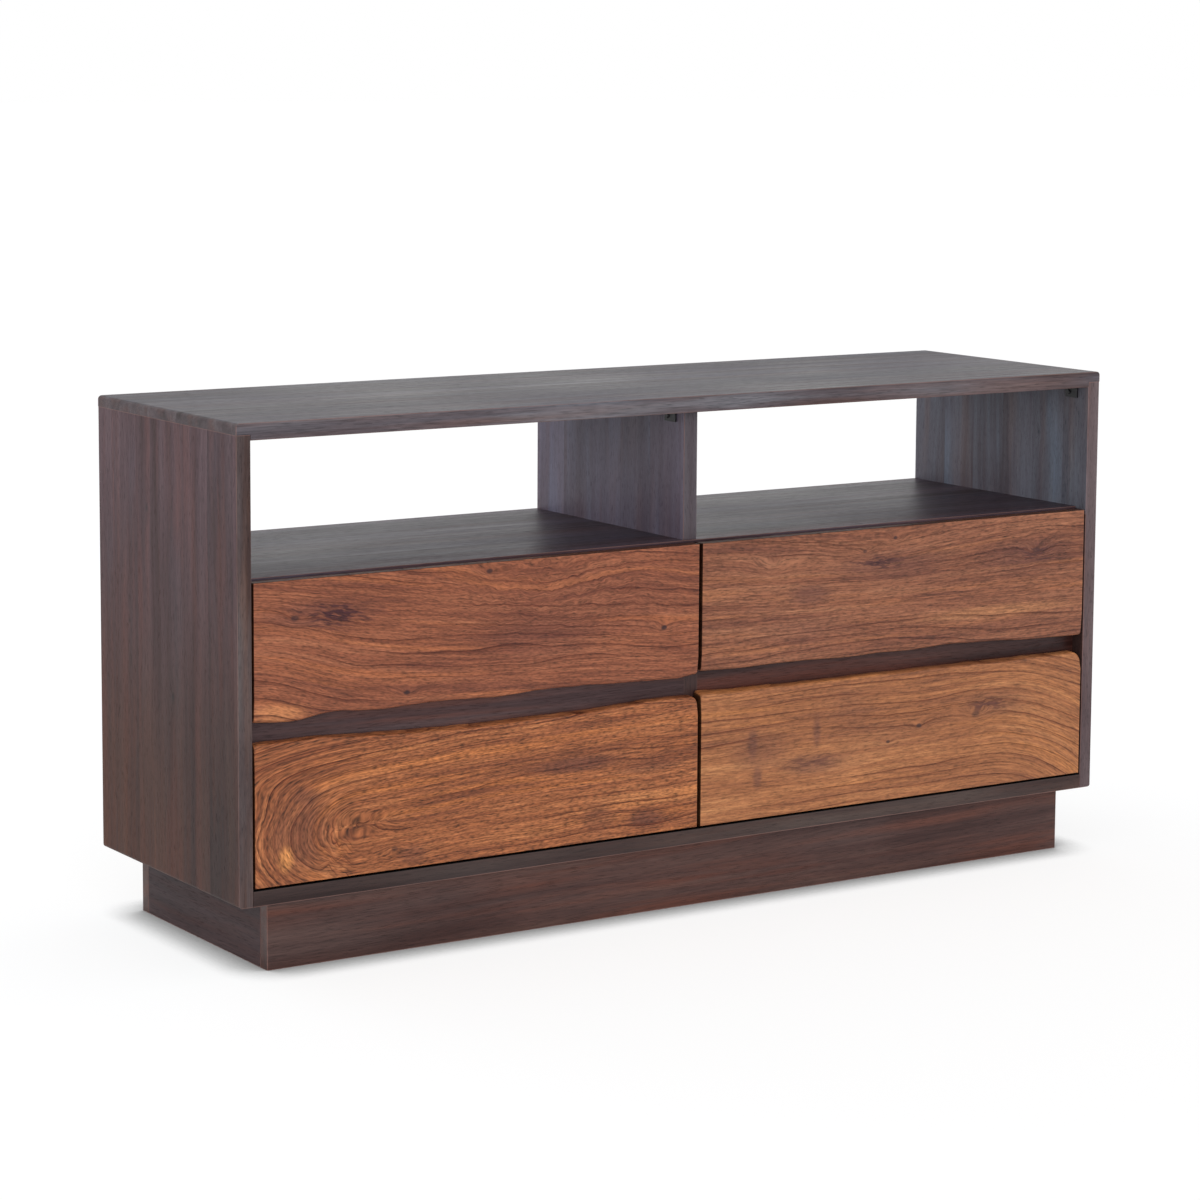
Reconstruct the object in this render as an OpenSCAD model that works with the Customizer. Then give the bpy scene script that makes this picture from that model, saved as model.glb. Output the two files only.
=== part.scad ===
// Dresser: a wide, low cabinet with two open cubbies above four drawers.
// The drawer fronts are thick boards whose facing edges keep the wavy edge of the tree,
// and the gap between those two edges is the pull for both rows.
// X runs along the width, the drawers open towards -Y and Z is up.
// The origin is on the floor under the middle of the cabinet.

/* [Cabinet] */
// Overall width, side to side
cabinet_w = 1524; // [1200:2:1800]
// Overall depth, front plane to back edge
cabinet_d = 438; // [425:1:560]
// Overall height, floor to the upper face of the top
cabinet_h = 766; // [720:1:860]
// Height of the shelf's upper face above the floor
shelf_z = 550; // [520:1:600]
// Radius of the rounded long outer edges
outer_r = 6; // [2:0.5:10]
// Width of the small bevel on the other visible arrises
ease = 1; // [0.4:0.1:1.6]

/* [Boards] */
// Thickness of the top board
top_t = 24; // [20:1:32]
// Depth of the rebate in the top's underside that takes each side
top_rebate = 8; // [4:1:12]
// Thickness of each side board
side_t = 22; // [18:1:30]
// Thickness of the bottom board
bottom_t = 22; // [18:1:30]
// Thickness of the shelf
shelf_t = 22; // [18:1:30]
// Thickness of the divider between the cubbies
divider_t = 24; // [18:1:30]
// Distance of the divider's front edge behind the front plane
divider_setback = 30; // [24:1:60]
// Thickness of the partition between the drawers
partition_t = 24; // [18:1:30]
// Depth of the housings that one board is let into another by
housing = 4; // [2:0.5:6]
// Thickness of the stub tenons and tongues
tongue_t = 10; // [6:1:12]
// Distance of the bottom's tongues behind the front plane
tongue_stop = 20; // [10:1:40]
// Thickness of the back panel
back_t = 9; // [6:1:12]
// Width of the rebates that take the back panel
back_rebate = 10; // [9:1:12]

/* [Plinth] */
// Height of the plinth
plinth_h = 98; // [60:1:140]
// Thickness of the plinth boards
plinth_t = 20; // [16:1:28]
// Inset of the plinth from each side of the carcass
plinth_side_inset = 53; // [10:1:90]
// Inset of the plinth from the front plane
plinth_front_inset = 20; // [5:1:80]
// Inset of the plinth from the back edge
plinth_back_inset = 21; // [5:1:80]
// Thickness of the two braces across the plinth
brace_t = 18; // [12:1:25]
// Distance of each brace from the middle of the cabinet
brace_x = 240; // [100:1:400]
// Clearance of the braces and glue blocks above the floor
brace_lift = 10; // [2:1:30]
// Leg of the triangular glue blocks in the plinth's corners
glue_block_leg = 45; // [25:1:60]

/* [Drawer fronts] */
// Thickness of the live-edge fronts
front_t = 22; // [18:1:28]
// Clearance between the backs of the fronts and the carcass
front_clear = 3; // [1:0.5:6]
// Gap at the outer, upper and lower edges of the fronts
front_gap = 3; // [1.5:0.5:5]
// Gap between the left and the right fronts
centre_gap = 6; // [3:0.5:10]
// Height of the middle of the finger gap above the floor
finger_gap_z = 336; // [320:1:350]
// Mean height of the finger gap between the two live edges
finger_gap_h = 36; // [30:1:40]
// Width of the worn round along the front of each live edge
edge_round = 4; // [2:0.5:6]
// Corner radius at the live edge, next to the sides of the cabinet, on the lower fronts
outer_corner_r = 16; // [4:1:25]
// Corner radius at the live edge of the lower left front, at the middle of the cabinet
left_corner_r = 12; // [4:1:25]
// Corner radius at the live edge of the lower right front, at the middle of the cabinet
right_corner_r = 6; // [4:1:25]
// Corner radius at the live edges of the upper fronts
upper_corner_r = 4; // [2:1:12]

/* [Rails] */
// Thickness of the dark rails behind the finger gap
rail_t = 20; // [14:1:26]
// How far a rail reaches behind the fronts above and below the mean finger gap
rail_cover = 15; // [12:1:25]

/* [Drawer boxes] */
// Thickness of the box boards
box_t = 14; // [10:1:16]
// Thickness of the box bottoms
box_bottom_t = 6; // [4:1:8]
// Height of the bottom's underside above the box's lower edge
box_bottom_lift = 10; // [6:1:14]
// Depth of the groove that holds the bottom
groove_d = 5; // [3:0.5:7]
// Clearance under each box
box_clear_low = 6; // [4:1:12]
// Clearance over each box
box_clear_high = 12; // [6:1:20]
// Length of box behind the slides
box_tail = 8; // [2:1:20]
// Wide end of each dovetail
tail_w = 26; // [16:1:30]
// Width of the half pins next to a box's upper and lower edges
half_pin = 5; // [4:1:8]
// Slope of the dovetails, as run for one of rise
tail_slope = 7; // [5:1:10]

/* [Slides] */
// Length of the slides, which is also their full travel
slide_len = 350; // [300:10:360]
// Height of the slides
slide_h = 45; // [35:1:50]
// Width of a slide, cabinet face to drawer face
slide_w = 12.7; // [12:0.1:14]
// Sheet thickness of the slide members
slide_sheet = 1.2; // [1:0.1:1.5]
// Outer bend radius of the slide members
slide_bend = 2.4; // [1.6:0.1:3]
// Running clearance between slide members
slide_play = 0.3; // [0.25:0.05:0.5]
// Distance of the slides behind the backs of the fronts
slide_inset = 12; // [8:1:30]

/* [Fixings] */
// Length of each black corner bracket
bracket_len = 28; // [24:1:40]
// Leg of each corner bracket
bracket_leg = 19; // [16:1:25]
// Thickness of each corner bracket
bracket_sheet = 2.5; // [1.5:0.5:3]
// Distance of a bracket's two holes from its middle, to either side along its length
bracket_hole_y = 6; // [5:0.5:7]
// Distance of the brackets on the sides behind the front plane
bracket_setback = 25; // [10:1:60]
// Distance of the brackets on the divider behind its front edge
bracket_inset = 20; // [5:1:60]
// Shank diameter of the wood screws
screw_d = 4; // [3:0.5:4.5]
// Head diameter of the wood screws
screw_head_d = 8; // [6:0.5:9]
// Head height of the wood screws
screw_head_h = 2.4; // [1.5:0.1:3]
// Depth to which the screws go into the last board
screw_bite = 12; // [8:1:14]
// Depth to which the bracket screws go into the wood
bracket_bite = 9; // [6:1:12]
// Radial clearance of the screws in their holes
screw_play = 0.15; // [0.1:0.05:0.3]
// Distance of the outermost back panel screws from its corners
back_screw_inset = 60; // [30:1:120]
// Distance of the front screws from the box's sides
front_screw_inset_x = 90; // [50:1:200]
// Distance of the front screws from the box's upper and lower edges
front_screw_inset_z = 34; // [30:1:40]

/* [Hidden] */
$fn = 48;
ROWS = ["lower", "upper"];
COLUMNS = ["left", "right"];
DRAWER_PIECES = [
    "front", "box_front", "box_back", "box_left", "box_right", "box_bottom",
    "slide_cabinet", "slide_middle", "slide_drawer", "front_screws"
];

// Colours
stain = "#4f4040";
live_wood = "#9c6644";
box_wood = "#c9a578";
plywood = "#bd9a6c";
zinc = "#a9adb0";
black_steel = "#1d1c1e";

// The live edges, as [place along the front from 0 to 1, height of the front line above the
// mean edge, rise from there to the back line], with the heights in mm
upper_left_wave = [
    [0, 0.5, -3], [0.06, -2.5, -4], [0.1, -2, -4], [0.16, 3.5, -2], [0.28, -0.5, -1.5], [0.4, 2, -2.5],
    [0.53, -1.5, -1], [0.66, 2, -3], [0.79, -1, -2], [0.94, -4.5, -1], [1, -1, -2]
];
upper_right_wave = [
    [0, 2.5, -2], [0.1, 0.5, -1], [0.25, 1.5, -3], [0.36, -1.5, -2], [0.44, -0.5, -1.5],
    [0.52, -1.5, -1], [0.65, 1, -3], [0.75, -1.5, -2.5], [0.88, -6.5, -0.5], [1, -8, 0]
];
lower_left_wave = [
    [0, 5, 0.5], [0.07, 5, 1], [0.13, 6, 0], [0.24, 0, 2.5], [0.36, -3.5, 3], [0.49, -6.5, 4],
    [0.62, -4.5, 2.5], [0.76, -3.5, 2], [0.88, 2, 0.5], [1, 1.5, 1.5]
];
lower_right_wave = [
    [0, 2.5, 5], [0.07, 0, 5], [0.16, 1.5, 2.5], [0.28, 1, 1.5], [0.38, 2, 1], [0.52, 0.5, 2.5],
    [0.62, 1, 2], [0.8, -0.5, 3], [1, 0.5, 1.5]
];
// Stations along a live edge between its corners, and round each corner
wave_steps = 44;
corner_steps = 6;

// Carcass planes
front_y = -cabinet_d / 2;
back_y = cabinet_d / 2;
side_x = cabinet_w / 2;
inner_x = side_x - side_t;
floor_z = plinth_h + bottom_t;
shelf_under_z = shelf_z - shelf_t;
top_under_z = cabinet_h - top_t;
lap_z = top_under_z + top_rebate;
carcass_y = front_y + front_t + front_clear;
rail_h = finger_gap_h + 2 * rail_cover;
plinth_x = side_x - plinth_side_inset;
plinth_y0 = front_y + plinth_front_inset;
plinth_y1 = back_y - plinth_back_inset;

// Drawer planes
bay_w = inner_x - partition_t / 2;
bay_x = (inner_x + partition_t / 2) / 2;
box_w = bay_w - 2 * slide_w;
box_y = front_y + front_t;
slide_y = box_y + slide_inset;
box_len = slide_inset + slide_len + box_tail;
front_w = inner_x - front_gap - centre_gap / 2;
tail_count = 3;

function side_of(column) = column == "left" ? -1 : 1;
function box_base(row) = row == "lower" ? floor_z + box_clear_low : finger_gap_z + rail_h / 2 + box_clear_low;
function box_top(row) = (row == "lower" ? finger_gap_z - rail_h / 2 : shelf_under_z) - box_clear_high;
function box_h(row) = box_top(row) - box_base(row);
function slide_z(row) = (box_base(row) + box_top(row)) / 2;

// Blocks given by their low and high corners
module block(low, high) {
    translate(low) cube(high - low);
}

// Rectangle from the origin with a small bevel at every corner
module eased_rect(w, h) {
    polygon([
        [ease, 0], [w - ease, 0], [w, ease], [w, h - ease],
        [w - ease, h], [ease, h], [0, h - ease], [0, ease]
    ]);
}

// Extrudes a drawing in X and Z along Y, from y0 to y1
module along_y(y0, y1) {
    translate([0, y1, 0]) rotate([90, 0, 0]) linear_extrude(y1 - y0) children();
}

// Extrudes a drawing in Y and Z along X, from x0 to x1
module along_x(x0, x1) {
    translate([x0, 0, 0]) rotate([90, 0, 90]) linear_extrude(x1 - x0) children();
}

// Mirrors its children to the left half when side is -1
module on_side(side) {
    mirror([side < 0 ? 1 : 0, 0, 0]) children();
}

// Board blanks, which also cut the housings of the boards that they meet

module shelf_blank() {
    block([-inner_x - housing, carcass_y, shelf_under_z], [inner_x + housing, back_y, shelf_z]);
}

module bottom_blank() {
    tongue_z = plinth_h + (bottom_t - tongue_t) / 2;
    block([-inner_x, front_y, plinth_h], [inner_x, back_y, floor_z]);
    block(
        [-inner_x - housing, front_y + tongue_stop, tongue_z],
        [inner_x + housing, back_y, tongue_z + tongue_t]
    );
}

module divider_blank() {
    translate([-divider_t / 2, front_y + divider_setback, shelf_z - housing])
        linear_extrude(top_under_z - shelf_z + 2 * housing)
            eased_rect(divider_t, cabinet_d - divider_setback);
}

module partition_blank() {
    block(
        [-partition_t / 2, carcass_y, floor_z - housing],
        [partition_t / 2, back_y - back_t, shelf_under_z + housing]
    );
}

module back_blank() {
    block(
        [-inner_x - back_rebate, back_y - back_t, floor_z - back_rebate],
        [inner_x + back_rebate, back_y, shelf_under_z + back_rebate]
    );
}

// Rail on the right, with a stub tenon at each end
module rail_blank() {
    low_z = finger_gap_z - rail_h / 2;
    tenon_y = carcass_y + (rail_t - tongue_t) / 2;
    block([partition_t / 2, carcass_y, low_z], [inner_x, carcass_y + rail_t, low_z + rail_h]);
    block(
        [partition_t / 2 - housing, tenon_y, low_z + tongue_t],
        [inner_x + housing, tenon_y + tongue_t, low_z + rail_h - tongue_t]
    );
}

// Side board on the right, with its lower outer edge rounded
module side_blank() {
    intersection() {
        along_y(front_y, back_y) translate([inner_x, plinth_h]) {
            translate([0, outer_r]) square([side_t, lap_z - plinth_h - outer_r]);
            square([side_t - outer_r, lap_z - plinth_h]);
            translate([side_t - outer_r, outer_r]) circle(outer_r);
        }
        translate([inner_x, front_y, plinth_h]) linear_extrude(lap_z - plinth_h)
            eased_rect(side_t, cabinet_d);
    }
}

// Screws, each along -Z with the underside of its head at the origin

// Pan-head screw through a grip of material and then into a board by its bite
module pan_screw(grip, bite, play) {
    translate([0, 0, -grip - bite - play]) cylinder(h = grip + bite + play, r = screw_d / 2 + play);
    if (play == 0)
        cylinder(h = screw_head_h, r1 = screw_head_d / 2, r2 = screw_head_d / 2 - screw_head_h / 3);
}

// Countersunk screw, with its head's flat face at the origin
module flush_screw(grip, play) {
    head_h = (screw_head_d - screw_d) / 2;
    depth = grip + screw_bite + play;
    translate([0, 0, -depth]) cylinder(h = depth, r = screw_d / 2 + play);
    translate([0, 0, -head_h]) cylinder(h = head_h, r1 = screw_d / 2 + play, r2 = screw_head_d / 2 + play);
}

// Carcass

module top_panel() {
    r = min(outer_r, top_t - top_rebate - 1);
    color(stain) difference() {
        intersection() {
            along_y(front_y, back_y) {
                translate([-side_x, top_under_z]) square([cabinet_w, top_t - r]);
                translate([-side_x + r, top_under_z]) square([cabinet_w - 2 * r, top_t]);
                for (side = [-1, 1]) translate([side * (side_x - r), cabinet_h - r]) circle(r);
            }
            along_x(-side_x, side_x) translate([front_y, top_under_z]) eased_rect(cabinet_d, top_t);
        }
        for (side = [-1, 1]) on_side(side)
            block([inner_x, front_y - 1, top_under_z - 1], [side_x + 1, back_y + 1, lap_z]);
        divider_blank();
        bracket_screw_set(screw_play);
    }
}

module side_panel(side) {
    color(stain) difference() {
        on_side(side) side_blank();
        shelf_blank();
        bottom_blank();
        back_blank();
        on_side(side) rail_blank();
        bracket_screw_set(screw_play);
        back_screw_set(screw_play);
    }
}

module bottom_panel() {
    color(stain) difference() {
        bottom_blank();
        partition_blank();
        back_blank();
        back_screw_set(screw_play);
    }
}

module cubby_shelf() {
    color(stain) difference() {
        shelf_blank();
        divider_blank();
        partition_blank();
        back_blank();
        back_screw_set(screw_play);
    }
}

module cubby_divider() {
    color(stain) difference() {
        divider_blank();
        bracket_screw_set(screw_play);
    }
}

module drawer_partition() {
    color(stain) difference() {
        partition_blank();
        for (side = [-1, 1]) on_side(side) rail_blank();
        back_screw_set(screw_play);
    }
}

module rail(side) {
    color(stain) on_side(side) rail_blank();
}

module back_panel() {
    color(plywood) difference() {
        back_blank();
        back_screw_set(screw_play);
    }
}

// Plinth

module plinth_long(y) {
    color(stain) translate([-plinth_x, y, 0]) linear_extrude(plinth_h)
        eased_rect(2 * plinth_x, plinth_t);
}

module plinth_end(side) {
    color(stain) on_side(side)
        block([plinth_x - plinth_t, plinth_y0 + plinth_t, 0], [plinth_x, plinth_y1 - plinth_t, plinth_h]);
}

module plinth_braces() {
    color(box_wood) for (side = [-1, 1]) on_side(side) block(
        [brace_x, plinth_y0 + plinth_t, brace_lift],
        [brace_x + brace_t, plinth_y1 - plinth_t, plinth_h]
    );
}

module plinth_glue_blocks() {
    inner_end = plinth_x - plinth_t;
    triangle = [[0, 0], [glue_block_leg, 0], [0, glue_block_leg]];
    color(box_wood) for (side = [-1, 1]) on_side(side) {
        translate([inner_end, plinth_y0 + plinth_t, brace_lift]) mirror([1, 0, 0])
            linear_extrude(plinth_h - brace_lift) polygon(triangle);
        translate([inner_end, plinth_y1 - plinth_t, brace_lift]) rotate(180)
            linear_extrude(plinth_h - brace_lift) polygon(triangle);
    }
}

// Fixings of the carcass

// Places a bracket or its screws at each upright, with the upright's face at X = 0 and the
// bracket towards +X, its middle at Y = 0 and the top's underside at Z = 0.
// All brackets are one part, so the ones that face the other way are turned, not mirrored.
module at_brackets() {
    side_y = front_y + bracket_setback + bracket_len / 2;
    divider_y = front_y + divider_setback + bracket_inset + bracket_len / 2;
    for (side = [-1, 1]) {
        translate([side * inner_x, side_y, top_under_z]) rotate(side > 0 ? 180 : 0) children();
        translate([side * divider_t / 2, divider_y, top_under_z]) rotate(side < 0 ? 180 : 0) children();
    }
}

// The two screws of one bracket, to either side of its middle so that the screws of two
// brackets back to back pass each other: up into the top, and sideways into the upright
module bracket_screw_pair(play) {
    centre = (bracket_leg + bracket_sheet) / 2;
    translate([centre, bracket_hole_y, -bracket_sheet]) rotate([180, 0, 0])
        pan_screw(bracket_sheet, bracket_bite, play);
    translate([bracket_sheet, -bracket_hole_y, -centre]) rotate([0, 90, 0])
        pan_screw(bracket_sheet, bracket_bite, play);
}

module bracket_screw_set(play = 0) {
    at_brackets() bracket_screw_pair(play);
}

module corner_brackets() {
    color(black_steel) difference() {
        at_brackets() translate([0, bracket_len / 2, 0]) rotate([90, 0, 0]) linear_extrude(bracket_len)
            polygon([
                [0, 0], [bracket_leg, 0], [bracket_leg, -bracket_sheet],
                [bracket_sheet, -bracket_sheet], [bracket_sheet, -bracket_leg], [0, -bracket_leg]
            ]);
        bracket_screw_set(screw_play);
    }
}

module bracket_screws() {
    color(black_steel) bracket_screw_set();
}

// Screws through the back panel into both sides, the partition, the shelf and the bottom
module back_screw_set(play = 0) {
    low = floor_z + back_screw_inset;
    high = shelf_under_z - back_screw_inset;
    edge_x = inner_x + back_rebate / 2;
    for (x = [-edge_x, 0, edge_x], z = [low, (low + high) / 2, high])
        translate([x, back_y, z]) rotate([-90, 0, 0]) flush_screw(back_t, play);
    for (x = [-bay_x, bay_x], z = [floor_z - back_rebate / 2, shelf_under_z + back_rebate / 2])
        translate([x, back_y, z]) rotate([-90, 0, 0]) flush_screw(back_t, play);
}

module back_panel_screws() {
    color(zinc) back_screw_set();
}

// Live-edge fronts

function knot(w, i) = w[max(0, min(len(w) - 1, i))];

function tangent(w, i) =
    let (before = knot(w, i - 1), after = knot(w, i + 1)) (after - before) / (after[0] - before[0]);

function span(w, u, i = 0) = i >= len(w) - 2 || u < w[i + 1][0] ? i : span(w, u, i + 1);

// Point of a live edge at u, on a smooth curve through the wave's points
function wave_at(w, u) =
    let (
        i = span(w, u),
        run = w[i + 1][0] - w[i][0],
        s = (u - w[i][0]) / run
    )
    w[i] * (2 * s ^ 3 - 3 * s ^ 2 + 1) + tangent(w, i) * run * (s ^ 3 - 2 * s ^ 2 + s)
    + w[i + 1] * (3 * s ^ 2 - 2 * s ^ 3) + tangent(w, i + 1) * run * (s ^ 3 - s ^ 2);

// Stations along a live edge, as [distance from the left end, drop for the rounded corner]
function corner_station(r, i) = let (a = 90 * i / corner_steps) [r * (1 - cos(a)), r * (1 - sin(a))];

function stations(r_left, r_right) = concat(
    [for (i = [0:corner_steps]) corner_station(r_left, i)],
    [for (i = [1:wave_steps - 1]) [r_left + (front_w - r_left - r_right) * i / wave_steps, 0]],
    [for (i = [corner_steps:-1:0]) let (c = corner_station(r_right, i)) [front_w - c[0], c[1]]]
);

// One section of a front: its outline at depth y, drawn in by inset on the sawn edges and by
// drop on the live edge, which points up
function section(h, w, marks, y, inset, drop) = concat(
    [for (m = marks) let (edge = wave_at(w, m[0] / front_w)) [
        inset + m[0] * (front_w - 2 * inset) / front_w,
        y,
        h + edge[1] + edge[2] * y / front_t - m[1] - drop
    ]],
    [[front_w - inset, y, inset], [inset, y, inset]]
);

// A front as a loft through sections from its face to its back, with all its arrises eased
module live_board(h, w, r_left, r_right) {
    marks = stations(r_left, r_right);
    rings = [
        section(h, w, marks, 0, ease, edge_round * 0.6),
        section(h, w, marks, ease, 0, edge_round * 0.25),
        section(h, w, marks, edge_round, 0, 0),
        section(h, w, marks, front_t - 2 * ease, 0, 0),
        section(h, w, marks, front_t, ease, 1.5 * ease)
    ];
    n = len(marks) + 2;
    last = len(rings) - 1;
    polyhedron(
        points = [for (ring = rings) each ring],
        faces = concat(
            [[for (i = [0:n - 1]) i]],
            [[for (i = [n - 1:-1:0]) last * n + i]],
            [for (k = [0:last - 1], i = [0:n - 1]) let (j = (i + 1) % n)
                [k * n + i, (k + 1) * n + i, (k + 1) * n + j]],
            [for (k = [0:last - 1], i = [0:n - 1]) let (j = (i + 1) % n)
                [k * n + i, (k + 1) * n + j, k * n + j]]
        )
    );
}

// Turns a wave over for a board that hangs with its live edge down
function turned(w) = [for (p = w) [p[0], -p[1], -p[2]]];

module live_edge_front(row, column) {
    left_x = column == "left" ? -inner_x + front_gap : centre_gap / 2;
    lower_h = finger_gap_z - finger_gap_h / 2 - floor_z - front_gap;
    upper_h = shelf_z - front_gap - finger_gap_z - finger_gap_h / 2;
    color(live_wood) difference() {
        if (row == "lower") {
            translate([left_x, front_y, floor_z + front_gap])
                if (column == "left") live_board(lower_h, lower_left_wave, upper_corner_r, left_corner_r);
                else live_board(lower_h, lower_right_wave, right_corner_r, outer_corner_r);
        } else {
            translate([left_x, front_y, shelf_z - front_gap]) mirror([0, 0, 1])
                live_board(
                    upper_h, turned(column == "left" ? upper_left_wave : upper_right_wave),
                    upper_corner_r, upper_corner_r
                );
        }
        front_screw_set(row, column, screw_play);
    }
}

// Drawer boxes

module at_box(row, column) {
    translate([side_of(column) * bay_x, box_y, box_base(row)]) children();
}

// The bottom of a box, which also cuts its own grooves
module box_bottom_blank() {
    x = box_w / 2 - box_t + groove_d;
    block([-x, box_t - groove_d, box_bottom_lift], [x, box_len, box_bottom_lift + box_bottom_t]);
}

// The tails at the front end of one box side, the one towards +X. The lowest one hides the
// end of the bottom's groove.
module tails(h) {
    low = half_pin + tail_w / 2;
    pitch = (h - 2 * low) / (tail_count - 1);
    narrow = tail_w - 2 * box_t / tail_slope;
    along_x(box_w / 2 - box_t, box_w / 2)
        for (i = [0:tail_count - 1]) translate([0, low + i * pitch])
            polygon([[0, -tail_w / 2], [box_t, -narrow / 2], [box_t, narrow / 2], [0, tail_w / 2]]);
}

// The back of a box, let into both sides and standing on the bottom
module box_back_blank(h) {
    x = box_w / 2 - box_t + housing;
    block(
        [-x, box_len - 2 * box_t, box_bottom_lift + box_bottom_t],
        [x, box_len - box_t, h]
    );
}

module box_side(row, column, side) {
    h = box_h(row);
    color(box_wood) at_box(row, column) difference() {
        on_side(side) {
            block([box_w / 2 - box_t, box_t, 0], [box_w / 2, box_len, h]);
            tails(h);
        }
        box_bottom_blank();
        box_back_blank(h);
    }
}

module box_front(row, column) {
    h = box_h(row);
    color(box_wood) difference() {
        at_box(row, column) difference() {
            block([-box_w / 2, 0, 0], [box_w / 2, box_t, h]);
            for (side = [-1, 1]) on_side(side) tails(h);
            box_bottom_blank();
        }
        front_screw_set(row, column, screw_play);
    }
}

module box_back(row, column) {
    color(box_wood) at_box(row, column) box_back_blank(box_h(row));
}

module box_bottom(row, column) {
    color(plywood) at_box(row, column) box_bottom_blank();
}

// Screws from inside a box through its front into the live-edge front
module front_screw_set(row, column, play = 0) {
    x = box_w / 2 - front_screw_inset_x;
    low = box_base(row) + front_screw_inset_z;
    high = box_top(row) - front_screw_inset_z;
    for (side = [-1, 1], z = [low, high])
        translate([side_of(column) * bay_x + side * x, box_y + box_t, z])
            rotate([-90, 0, 0]) pan_screw(box_t, screw_bite, play);
}

module front_screws(row, column) {
    color(zinc) front_screw_set(row, column);
}

// Slides: three nested channels of bent sheet steel on each side of a box

// Rectangle from the origin, with its two corners at X = 0 rounded
module bent_rect(w, h, r) {
    translate([r, 0]) square([w - r, h]);
    translate([0, r]) square([r, h - 2 * r]);
    for (y = [r, h - r]) translate([r, y]) circle(r);
}

// Section of a channel, with its web's back at X = 0 and its flanges towards +X
module channel_section(reach, h) {
    translate([0, -h / 2]) difference() {
        bent_rect(reach, h, slide_bend);
        translate([slide_sheet, slide_sheet])
            bent_rect(reach, h - 2 * slide_sheet, channel_bend);
    }
}

// Channels for both sides of a box. Their section is placed by the distance from the cabinet's
// face: the web's back lies at web_u and the flanges reach to flange_u.
module channels(row, column, web_u, flange_u, h) {
    turn = web_u < flange_u ? 1 : 0;
    color(zinc) translate([side_of(column) * bay_x, 0, slide_z(row)]) for (side = [-1, 1]) on_side(side)
        along_y(slide_y, slide_y + slide_len) translate([bay_w / 2 - web_u, 0]) mirror([turn, 0])
            channel_section(abs(flange_u - web_u), h);
}

// Room that one channel leaves for the next one inside it
channel_step = slide_sheet + slide_play;

// Inner bend radius of a channel, which the flanges that face its web stop short of
channel_bend = slide_bend - slide_sheet;

module slide_cabinet(row, column) {
    channels(row, column, 0, slide_w - 2 * channel_step, slide_h);
}

module slide_middle(row, column) {
    channels(row, column, channel_step, slide_w - channel_step, slide_h - 2 * channel_step);
}

module slide_drawer(row, column) {
    channels(row, column, slide_w, 2 * channel_step + channel_bend, slide_h - 4 * channel_step);
}

top_panel();
side_panel(-1);  // left_side_panel
side_panel(1);  // right_side_panel
bottom_panel();
cubby_shelf();
cubby_divider();
drawer_partition();
rail(-1);  // left_rail
rail(1);  // right_rail
back_panel();
plinth_long(plinth_y0);  // plinth_front
plinth_long(plinth_y1 - plinth_t);  // plinth_back
plinth_end(-1);  // plinth_left
plinth_end(1);  // plinth_right
plinth_braces();
plinth_glue_blocks();
corner_brackets();
bracket_screws();
back_panel_screws();
for (row = ROWS, column = COLUMNS) {
    drawer = str(row, "_", column, "_");
    live_edge_front(row, column);
    box_front(row, column);
    box_back(row, column);
    box_side(row, column, -1);
    box_side(row, column, 1);
    box_bottom(row, column);
    slide_cabinet(row, column);
    slide_middle(row, column);
    slide_drawer(row, column);
    front_screws(row, column);
}
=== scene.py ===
import math
import random

import bmesh
import bpy
import numpy as np
from mathutils import Matrix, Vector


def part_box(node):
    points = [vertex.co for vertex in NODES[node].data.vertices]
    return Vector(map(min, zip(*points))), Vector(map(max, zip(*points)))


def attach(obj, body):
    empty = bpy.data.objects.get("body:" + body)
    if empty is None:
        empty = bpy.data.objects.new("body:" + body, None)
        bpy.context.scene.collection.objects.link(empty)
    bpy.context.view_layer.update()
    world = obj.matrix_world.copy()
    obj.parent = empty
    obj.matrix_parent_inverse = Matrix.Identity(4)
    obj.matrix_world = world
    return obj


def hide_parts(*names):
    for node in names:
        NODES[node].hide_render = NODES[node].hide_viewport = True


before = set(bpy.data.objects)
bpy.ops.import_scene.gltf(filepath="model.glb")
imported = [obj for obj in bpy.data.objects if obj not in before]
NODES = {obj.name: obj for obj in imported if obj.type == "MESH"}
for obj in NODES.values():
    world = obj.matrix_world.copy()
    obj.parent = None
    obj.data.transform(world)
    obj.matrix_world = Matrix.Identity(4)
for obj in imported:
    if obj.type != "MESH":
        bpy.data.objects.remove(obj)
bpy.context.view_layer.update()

MM = 0.001


# Objects and meshes

def show(name, data):
    """A new object in the scene."""
    thing = bpy.data.objects.new(name, data)
    bpy.context.scene.collection.objects.link(thing)
    return thing


def mesh_data(name, mesh, material):
    """The data of a finished bmesh, in one material."""
    data = bpy.data.meshes.new(name)
    mesh.to_mesh(data)
    mesh.free()
    data.materials.append(material)
    return data


def dress(material, *names):
    """Gives CAD nodes a material."""
    for name in names:
        slots = NODES[name].data.materials
        if not len(slots):
            slots.append(material)
        for index in range(len(slots)):
            slots[index] = material


# Camera

CAMERA_PLACE = (-2.8723, -4.3713, 1.2784)
CAMERA_YAW = 0.5755
CAMERA_PITCH = math.radians(7.0)
CAMERA_ROLL = 0.0061


def make_camera():
    """The photograph's viewpoint: a long lens, turned 33 degrees from the front and 7 degrees
    down."""
    lens = bpy.data.cameras.new("camera")
    lens.sensor_width = 36.0
    lens.lens = 104.06
    lens.shift_y = -0.1102
    lens.clip_end = 200.0
    camera = show("camera", lens)
    heading = Matrix.Rotation(-CAMERA_YAW, 4, "Z")
    tilt = Matrix.Rotation(math.pi / 2 - CAMERA_PITCH, 4, "X")
    roll = Matrix.Rotation(CAMERA_ROLL, 4, "Z")
    camera.matrix_world = Matrix.Translation(CAMERA_PLACE) @ heading @ tilt @ roll
    bpy.context.scene.camera = camera


# Node trees

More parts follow.
